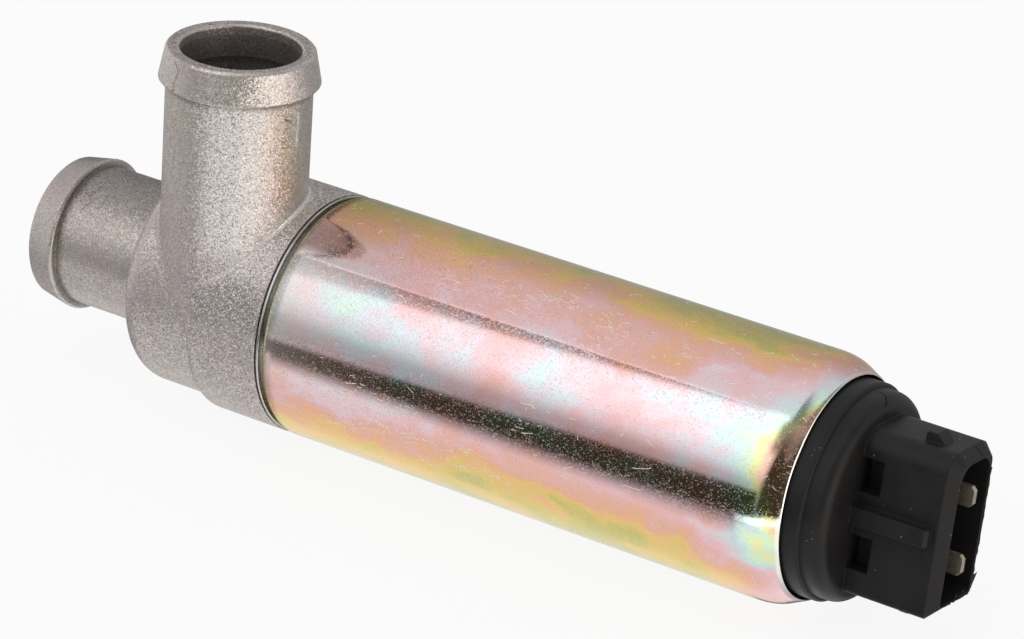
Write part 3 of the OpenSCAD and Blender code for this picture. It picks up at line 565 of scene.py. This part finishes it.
def tube_faces(rings, k):
    """Faces of a closed prism through rings of k points each."""
    faces = [tuple(range(k)), tuple((rings - 1) * k + j for j in reversed(range(k)))]
    for i in range(rings - 1):
        for j in range(k):
            faces.append((i * k + j, i * k + (j + 1) % k, (i + 1) * k + (j + 1) % k, (i + 1) * k + j))
    return faces


def arc(cx, cr, r, start, end, count):
    """Points (x, r) on an arc about (cx, cr); angles from +X towards +r."""
    angles = [math.radians(start + (end - start) * i / count) for i in range(count + 1)]
    return [(cx + r * math.cos(a), cr + r * math.sin(a)) for a in angles]


def bezier(p0, p1, p2, p3, count):
    """Points after p0 on a cubic curve."""
    points = []
    for i in range(1, count + 1):
        t = i / count
        points.append(tuple((1 - t) ** 3 * a + 3 * (1 - t) ** 2 * t * b + 3 * (1 - t) * t * t * c + t ** 3 * d
                            for a, b, c, d in zip(p0, p1, p2, p3)))
    return points


def smooth_path(points, per=6):
    """Catmull-Rom points through the given ones."""
    path = []
    last = len(points) - 1
    for i in range(last):
        p0, p1, p2, p3 = (Vector(points[min(max(k, 0), last)]) for k in range(i - 1, i + 3))
        for j in range(per):
            t = j / per
            path.append(0.5 * ((2 * p1) + (p2 - p0) * t + (2 * p0 - 5 * p1 + 4 * p2 - p3) * t * t
                               + (3 * p1 - p0 - 3 * p2 + p3) * t ** 3))
    path.append(Vector(points[-1]))
    return path


def ridge(name, points, normals, width, height, material, heights=None):
    """A thin closed ridge laid along points on a surface, with narrow ends."""
    sink, top_share, end_share = 0.05, 0.45, 0.35
    verts = []
    last = len(points) - 1
    for i, (point, normal) in enumerate(zip(points, normals)):
        point, normal = Vector(point), Vector(normal).normalized()
        ahead = (Vector(points[min(i + 1, last)]) - Vector(points[max(i - 1, 0)])).normalized()
        size = end_share if i in (0, last) else 1.0
        side = ahead.cross(normal).normalized() * (width * size * 0.5)
        rise = normal * (height * size * (heights[i] if heights else 1.0))
        verts += [point + side - normal * sink, point + side * top_share + rise,
                  point - side * top_share + rise, point - side - normal * sink]
    return own_mesh(name, verts, tube_faces(last + 1, 4), material, 40)


def ragged(points, jag):
    """A random height for each point of a ridge."""
    return [1 + jag * random.uniform(-1, 1) for _ in points]


def side_radius(z):
    return STUB_R if z < BEAD_FOOT else BEAD_R - max(0.0, z - BEAD_FULL) * BEAD_SLOPE


def on_side(name, path, width, height, material, jag=0.0):
    """A ridge on the side stub or its bead; the path holds (angle, z)."""
    points, normals = [], []
    for q in smooth_path([(a, z, 0) for a, z in path]):
        normal = (math.cos(math.radians(q.x)), math.sin(math.radians(q.x)), 0)
        r = side_radius(q.y)
        points.append((SIDE_X + r * normal[0], SIDE_Y + r * normal[1], q.y))
        normals.append(normal)
    return ridge(name, points, normals, width, height, material, ragged(points, jag))


def about_x(name, path, radius, width, height, material, centre_z=0.0, jag=0.0):
    """A ridge on a round surface about X; the path holds (x, y, z), pulled to the radius given for each x."""
    points, normals = [], []
    for q in smooth_path(path):
        normal = Vector((0, q.y, q.z - centre_z)).normalized()
        r = radius(q.x) if callable(radius) else radius
        points.append((q.x, normal.y * r, normal.z * r + centre_z))
        normals.append(normal)
    return ridge(name, points, normals, width, height, material, ragged(points, jag))


# The can
def can_profile():
    """The sheet's section: the open end, the outside, the lean, and the roll with its inside."""
    wall, edge, roll, stop = 1.2, 0.8, 2.5, 75
    roll_x = LIP_X - roll
    profile = [(CAN_X0, CAN_R - wall), (CAN_X0, CAN_R - edge - 0.05)]
    profile += arc(CAN_X0 + edge, CAN_R - edge, edge, 180, 90, 10)
    lean_x, lean, lean_steps, sides = 33.8, 27, 18, 60
    profile += [(CAN_X0 + edge + (lean_x - CAN_X0 - edge) * i / sides, CAN_R) for i in range(1, sides)]
    # The sheet leans in more and more before the roll proper
    lean_run = roll_x + 0.55 - lean_x
    drop = 0.0
    for i in range(lean_steps + 1):
        profile.append((lean_x + lean_run * i / lean_steps, CAN_R - drop))
        slope = min(lean * ((i + 1) / lean_steps) ** 1.6, lean)
        drop += math.tan(math.radians(slope)) * lean_run / lean_steps
    sine, cosine = math.sin(math.radians(stop)), math.cos(math.radians(stop))
    tip = (roll_x + roll * sine, CAN_R - roll + roll * cosine)
    start, reach, hook = profile[-1], 1.25, 0.28
    profile += bezier(start, (start[0] + reach, start[1] - reach * math.tan(math.radians(lean))),
                      (tip[0] - hook * cosine, tip[1] + hook * sine), tip, 16)
    inner = arc(roll_x, CAN_R - roll, roll - wall, 90 - stop, 90, 10)
    profile += [tuple(a + (b - a) * t for a, b in zip(tip, inner[0])) for t in (0.10, 0.90)]
    return profile + inner, roll_x, roll


def make_can():
    profile, roll_x, roll = can_profile()

    def uneven(angle, x):
        """The lip's edge runs in and out a little."""
        wave = 0.03 * math.sin(3 * angle + 1) + 0.015 * math.sin(11 * angle)
        return wave * (x - roll_x) / roll if x > roll_x else 0

    verts, faces = revolve(profile, 300, uneven)
    o = own_mesh("can_shell", verts, faces, can_steel, 35)
    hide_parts("steel_can")


# The casting's fillets, flash and cracks
def head_radius(x, on_collar):
    if on_collar:
        return COLLAR_R
    t = HEAD_X0 + NOSE_ROUND - x
    return NOSE_R if t < 0 else NOSE_R - NOSE_ROUND + math.sqrt(max(NOSE_ROUND ** 2 - t * t, 0.01))


def root_fillet(name, start, end, ball, on_collar, material, steps=110, arcs=7):
    """A rolling-ball fillet between the side stub and the head, as one closed strip."""
    skin = 0.3
    verts = []
    for i in range(steps + 1):
        a = math.radians(start + (end - start) * i / steps)
        c, s = math.cos(a), math.sin(a)
        cx, cy = SIDE_X + (STUB_R + ball) * c, SIDE_Y + (STUB_R + ball) * s
        r = head_radius(cx, on_collar)
        cz = math.sqrt(max((r + ball) ** 2 - cy * cy, 0.01))
        centre = Vector((cx, cy, cz))
        on_stub = Vector((SIDE_X + STUB_R * c, SIDE_Y + STUB_R * s, cz))
        on_head = Vector((cx, cy * r / (r + ball), cz * r / (r + ball)))
        to_stub, to_head = (on_stub - centre).normalized(), (on_head - centre).normalized()
        for j in range(arcs + 1):
            verts.append(centre + to_stub.slerp(to_head, j / arcs) * ball)
        down = Vector((0, -cy, -cz)).normalized() * skin
        inward = Vector((-c, -s, 0)) * skin
        verts += [on_head + down, Vector((on_stub.x, on_stub.y, on_head.z)) + down + inward, on_stub + inward]
    own_mesh(name, verts, tube_faces(steps + 1, arcs + 4), material, 30)


def casting_marks():
    """Flash, burrs with a painted glint, cracks and a smudge, along given paths."""
    on_side("flash_bead", [(-100.6, 37.2), (-104.8, 36.6), (-107.3, 35.4), (-108.6, 34.2), (-108.0, 33.3)],
            0.30, 0.13, casting, jag=0.2)
    on_side("crack_bead", [(-113.5, 37.2), (-110.5, 36.9), (-107.6, 36.3), (-106.6, 35.5)],
            0.16, 0.012, crack)
    on_side("flash_stub", [(-3.2, 31.2), (-1.8, 30.3), (-1.2, 29.4), (-1.6, 28.6), (-2.6, 27.8), (-2.4, 26.9),
                           (-2.9, 26.1)], 0.22, 0.16, burr_with_painted_glint, jag=0.5)
    on_side("smudge_stub", [(-16.5, 30.6), (-13.0, 30.3), (-9.5, 29.9)], 0.42, 0.010, smudge)
    about_x("flash_head_a", [(-43.4, -4.9, 16.3), (-42.6, -5.0, 16.2), (-41.75, -5.2, 16.2)], COLLAR_R,
            0.22, 0.12, burr_with_painted_glint, jag=0.5)
    about_x("flash_head_b", [(-43.6, -4.4, 16.4), (-42.9, -3.0, 16.7), (-42.4, -1.4, 16.9),
                             (-42.0, 0.2, 17.0)],
            COLLAR_R - 0.01, 0.20, 0.07, casting, jag=0.4)
    about_x("flash_head_c", [(-41.5, -5.9, 15.9), (-41.5, -3.6, 16.6), (-41.3, -1.4, 16.9)], COLLAR_R - 0.01,
            0.18, 0.06, casting, jag=0.4)
    turns = [math.radians(a) for a in range(-42, 23, 8)]
    behind_bead = [(END_BEAD_X + 0.18, -BEAD_R * math.cos(a), END_Z + BEAD_R * math.sin(a)) for a in turns]
    about_x("edge_end", behind_bead, BEAD_R - 0.02, 0.16, 0.03, burr_with_painted_glint, centre_z=END_Z, jag=0.5)
    about_x("crack_end_a", [(-77.45, -3.51, 9.66), (-77.5, -4.34, 9.31), (-77.96, -5.52, 8.64),
                            (-77.25, -6.2, 8.15), (-77.8, -6.98, 7.47), (-77.95, -7.66, 6.73)],
            STUB_R, 0.13, 0.012, crack, centre_z=END_Z)
    about_x("crack_end_b", [(-77.96, -5.52, 8.64), (-79.0, -5.4, 8.72), (-79.6, -5.85, 8.41)],
            STUB_R, 0.12, 0.012, crack, centre_z=END_Z)


# The cap's moulding marks and flash
def clocked(x, y, z):
    """From the socket's own directions to the frame's."""
    return Vector((x, y * math.cos(CLOCK) + z * math.sin(CLOCK), -y * math.sin(CLOCK) + z * math.cos(CLOCK)))


def flange_radius(x):
    if x < FLANGE_X:
        return FLANGE_R
    return FLANGE_R - FLANGE_ROUND + math.sqrt(max(FLANGE_ROUND ** 2 - (x - FLANGE_X) ** 2, 0.04))


def cap_marks():
    about_x("neck_mark", [(42.9, 1.9, 13.98), (43.9, 1.6, 13.9), (44.6, 0.9, 13.6), (44.95, -0.1, 13.2)],
            flange_radius, 0.30, 0.02, gloss_black)
    path = [clocked(*p) for p in ((56.8, 0.9, 11.09), (57.3, 1.3, 10.62), (57.7, 1.4, 10.22),
                                  (MOUTH_X, 1.55, 9.80))]
    ridge("mouth_crack", path, [clocked(0.7, 0, 0.7)] * len(path), 0.16, 0.02, gloss_black)


def rim_flash(name, path, thick=0.11):
    """Torn moulding flash: a thin closed sheet along (y, z, dy, dz, dx) points of the mouth's rim."""
    half = Vector((thick / 2, 0, 0))
    verts = []
    for y, z, dy, dz, dx in path:
        base, tip = clocked(MOUTH_X, y, z), clocked(MOUTH_X + 0.08 + dx, y + dy, z + dz)
        verts += [base - half, base + half, tip + half * 0.5, tip - half * 0.5]
    own_mesh(name, verts, tube_faces(len(path), 4), black, 20)


def mouth_flash():
    """Flash down the far side of the mouth, along its foot, and three torn tongues."""
    side = []
    for i in range(25):
        z = 7.6 - 14.8 * i / 24
        side.append((4.30, z, 0.12 + 0.13 * random.random(), 0.0, 0.04 + 0.12 * random.random()))
    side += [(4.28, -7.45, 0.55, 0.1, 0.1), (4.27, -7.6, 1.15, 0.42, 0.12), (4.24, -7.8, 1.05, 0.28, 0.1),
             (4.20, -8.1, 0.75, 0.05, 0.1), (4.12, -8.5, 0.45, -0.1, 0.1), (3.9, -9.0, 0.25, -0.15, 0.15)]
    rim_flash("flash_far", side)
    foot = []
    for i in range(22):
        y = 3.9 - 7.2 * i / 21
        foot.append((y, -9.50, 0.03 * random.uniform(-1, 1), -0.08 - 0.22 * random.random() * (1 - i / 26),
                     0.05 + 0.25 * random.random()))
    rim_flash("flash_foot", foot)
    tongues = ((0.4, -9.3, -0.5, 0.9), (2.0, -9.2, 0.35, 0.75), (1.2, -9.35, 0.1, 0.5))
    for k, (y, z, dy, dz) in enumerate(tongues):
        rim_flash("flash_tongue_%d" % k, [(y - 0.25, z, dy * 0.2, dz * 0.2, 0.02), (y, z, dy, dz, 0.1),
                                          (y + 0.3, z, dy * 0.3, dz * 0.25, 0.02)])


make_can()
# The collar's fillet takes the casting with the painted highlight
root_fillet("fillet_collar", -85.2, 85.2, 0.42, True, casting_painted_highlight)
root_fillet("fillet_nose", 87.2, 272.8, 1.15, False, casting)
casting_marks()
cap_marks()
mouth_flash()


# Floor, world and camera
def make_floor(scene):
    """A plain floor, in metres, nearly white to the camera; reflections get the world's table instead."""
    half, height = 3.0, -0.01705
    mesh = bpy.data.meshes.new("floor")
    corners = [(-half, -half, height), (half, -half, height), (half, half, height), (-half, half, height)]
    mesh.from_pydata(corners, [], [(0, 1, 2, 3)])
    floor = bpy.data.objects.new("floor", mesh)
    scene.collection.objects.link(floor)
    m = Material("floor_white")
    paint = m.new("BsdfDiffuse", {0: (0.90, 0.90, 0.90)})
    glow = m.new("Emission", {0: (1, 1, 1), 1: 1.0})
    seen = m.mul(m.new("LightPath").outputs["Is Camera Ray"], 0.90)
    m.show(m.new("MixShader", {0: seen, 1: paint.outputs[0], 2: glow.outputs[0]}), "OutputMaterial")
    mesh.materials.append(m.material)
    floor.visible_glossy = False


# The room's brightness by the angle about X from the front, and its share for the head and the end stub
ROOM = ((-180, 0.42), (-166, 0.42), (-150, 0.60), (-138, 0.88), (-110, 1.04), (-90, 0.94), (-60, 0.92),
        (-35, 0.98), (-20, 0.82), (-2, 0.48), (8, 0.54), (20, 1.0), (35, 1.38), (68, 1.52), (73, 1.50),
        (74, 0.90), (100, 0.88), (125, 0.78), (150, 0.56), (179, 0.42))
HEAD_SHARE = ((-180, 0.45), (-150, 0.8), (-125, 1.0), (-108, 0.85), (-90, 0.66), (-72, 0.58), (-55, 0.66),
              (-42, 0.86), (-11, 0.86), (5, 0.66), (21, 0.62), (37, 0.56), (53, 0.62), (69, 0.48), (85, 0.36),
              (101, 0.30), (133, 0.22), (165, 0.22), (179, 0.40))

# The table's brightness by azimuth
TABLE = ((-180, 0.42), (-160, 0.40), (-143, 0.46), (-125, 0.80), (-107, 1.15), (-90, 2.1), (-73, 2.75),
         (-56, 2.2), (-40, 1.45), (-22, 1.60), (-3, 1.55), (14, 1.0), (34, 0.66), (50, 0.46), (66, 0.12),
         (95, 0.12), (127, 0.25), (179, 0.38))


class Studio(Nodes):
    """The world: directions wx, wy and wz, and the angles that they give."""

    def __init__(self, tree):
        super().__init__(tree)
        self.wx, self.wy, self.wz = self.split(self.new("TexCoord").outputs["Generated"])
        self.about = self.angle(self.wz, self.mul(self.wy, -1.0))
        self.azimuth = self.angle(self.wy, self.wx)
        # From the can's left end to its right end, as the can mirrors the room
        self.along = self.fade(self.wx, -0.525, -0.415)

    def by_angle(self, angle, levels):
        return self.ramp(self.fade(angle, -180, 180), [((a + 180) / 360, level) for a, level in levels])

    def past(self, value, line, width):
        """0 up to the line, 1 a width past it."""
        return self.math("DIVIDE", self.minus(value, line), width, clamp=True)

    def past_angle(self, start, drift, width):
        """Past an angle that drifts along the can."""
        return self.past(self.about, self.mul_add(self.along, drift, start), width)

    def without(self, share):
        return self.minus(1.0, share)

    def front(self):
        """The room in front and behind, dimmer towards the left, with a dark gap above the softbox."""
        left = self.mul(self.fade(self.along, 0.0, 0.30, 0.48, 0.0),
                        self.most(self.ease(self.about, 73.5, 74.5), self.ease(self.about, -125, -165)))
        softbox = self.mul(self.ease(self.about, 5, 15), self.ease(self.about, 74, 73))
        left_softbox = self.mul(self.fade(self.along, 0.0, 0.35, 0.22, 0.0), softbox)
        share = self.minus(self.without(left), left_softbox)
        lit = self.vec("SCALE", self.by_angle(self.about, ROOM), scale=share)
        gap = self.mul(self.past_angle(51, 20, 3.5), self.without(self.past_angle(72.2, 0, 0.9)),
                       self.fade(self.along, 0.0, 0.35, 0.45, 1.0))
        tone = self.mix(self.past_angle(60, 10, 11), (0.48, 0.46, 0.43), (0.19, 0.175, 0.155))
        return self.mix(gap, lit, tone)

    def dark_card(self, lit):
        """The dark band below the softbox, soft on its lower side and wider to the right."""
        rise = self.fade(self.wx, -0.36, -0.04)
        foot = self.mul_add(rise, 21, self.mul_add(self.along, -7, -37))
        softness = self.mul_add(rise, -14, self.mul_add(self.along, 9, 12))
        card = self.mul(self.past(self.about, foot, softness), self.without(self.past_angle(-13, 14, 4.0)),
                        self.ease(self.wx, 0.16, 0.04), self.fade(self.along, 0.0, 0.22, 0.72, 1.0))
        return self.mix(card, lit, (0.036, 0.038, 0.018))

    def head(self, lit):
        """The head and the end stub, further left, mirror a darker part of the room."""
        dim = self.vec("MULTIPLY", lit, self.by_angle(self.about, HEAD_SHARE))
        return self.mix(self.ease(self.wx, -0.515, -0.545), lit, dim)

    def table(self, lit):
        """The table, away from the strip that the long round surfaces mirror; its lower part is dimmer."""
        table = self.by_angle(self.azimuth, TABLE)
        strip = self.ease(self.math("ABSOLUTE", self.add(self.wx, 0.465)), 0.05, 0.09)
        lower = self.mul(strip, self.ease(self.wz, -0.42, -0.50), self.ease(self.wz, -0.78, -0.66))
        lit = self.mix(lower, lit, self.vec("MINIMUM", table, (1.04, 1.04, 1.02)))
        near = self.mul(strip, self.ease(self.wz, -0.32, -0.37), self.ease(self.wz, -0.45, -0.42))
        return self.mix(near, lit, table)

    def right_side(self, lit):
        """Right of the softbox a dark room, then a window."""
        ahead = self.mul(self.ease(self.about, -21, -17), self.ease(self.about, 74, 60))
        start = self.fade(self.about, -18, 65, -0.05, 0.40)
        room = self.mul(ahead, self.past(self.wx, start, 0.20), self.ease(self.wx, 0.95, 0.80))
        lit = self.mix(room, lit, (0.05, 0.048, 0.036))
        window = self.mul(self.ease(self.wx, 0.74, 0.93), self.ease(self.wz, -0.42, -0.30),
                          self.ease(self.wz, 0.75, 0.45), self.fade(self.azimuth, -2.865, 25.783, 1.0, 0.30))
        return self.mix(window, lit, (2.15, 2.06, 1.93))

    def walls(self, lit):
        """A pale wall at the far left and a dark ceiling at the far right."""
        wall = self.mul(self.ease(self.wx, -0.60, -0.80), self.ease(self.wz, -0.36, -0.26))
        lit = self.mix(wall, lit, (0.80, 0.795, 0.79))
        nearer = self.mul(self.ease(self.wx, -0.05, 0.28), self.ease(self.wz, 0.94, 0.88),
                          self.ease(self.wy, -0.02, -0.16))
        ceiling = self.mul(self.most(nearer, self.ease(self.wx, 0.29, 0.40)),
                           self.ease(self.wz, 0.50, 0.68, 0.0, 0.82))
        return self.mix(ceiling, lit, (0.10, 0.09, 0.085))


def make_world(scene):
    """A pale room for light and reflections, and plain white to the camera."""
    world = bpy.data.worlds.new("studio")
    scene.world = world
    world.use_nodes = True
    w = Studio(world.node_tree)
    lit = w.walls(w.right_side(w.table(w.head(w.dark_card(w.front())))))
    room = w.new("Background", {0: lit, 1: 1.0})
    white = w.new("Background", {0: (1, 1, 1), 1: 1.0})
    seen = w.new("LightPath").outputs["Is Camera Ray"]
    w.show(w.new("MixShader", {0: seen, 1: room.outputs[0], 2: white.outputs[0]}), "OutputWorld")


def make_camera(scene):
    """The photograph's camera, in metres, fitted to the can's outlines, the seam and the stubs' mouths."""
    right = Vector((0.83619428, 0.54420219, 0.06799337))
    down = Vector((0.27790451, -0.31356902, -0.90798874))
    ahead = Vector((-0.47280884, 0.77815066, -0.41344086))
    data = bpy.data.cameras.new("camera")
    data.sensor_width = 36.0
    data.lens = 149.2264
    data.clip_start = 0.01
    data.clip_end = 20
    camera = bpy.data.objects.new("camera", data)
    turn = Matrix((right, -down, -ahead)).transposed()
    camera.matrix_world = Matrix.Translation(Vector((0.256266, -0.439972, 0.241979))) @ turn.to_4x4()
    scene.collection.objects.link(camera)
    scene.camera = camera


scene = bpy.context.scene
make_floor(scene)
make_world(scene)
make_camera(scene)
scene.view_settings.view_transform = "Standard"

bpy.context.view_layer.update()
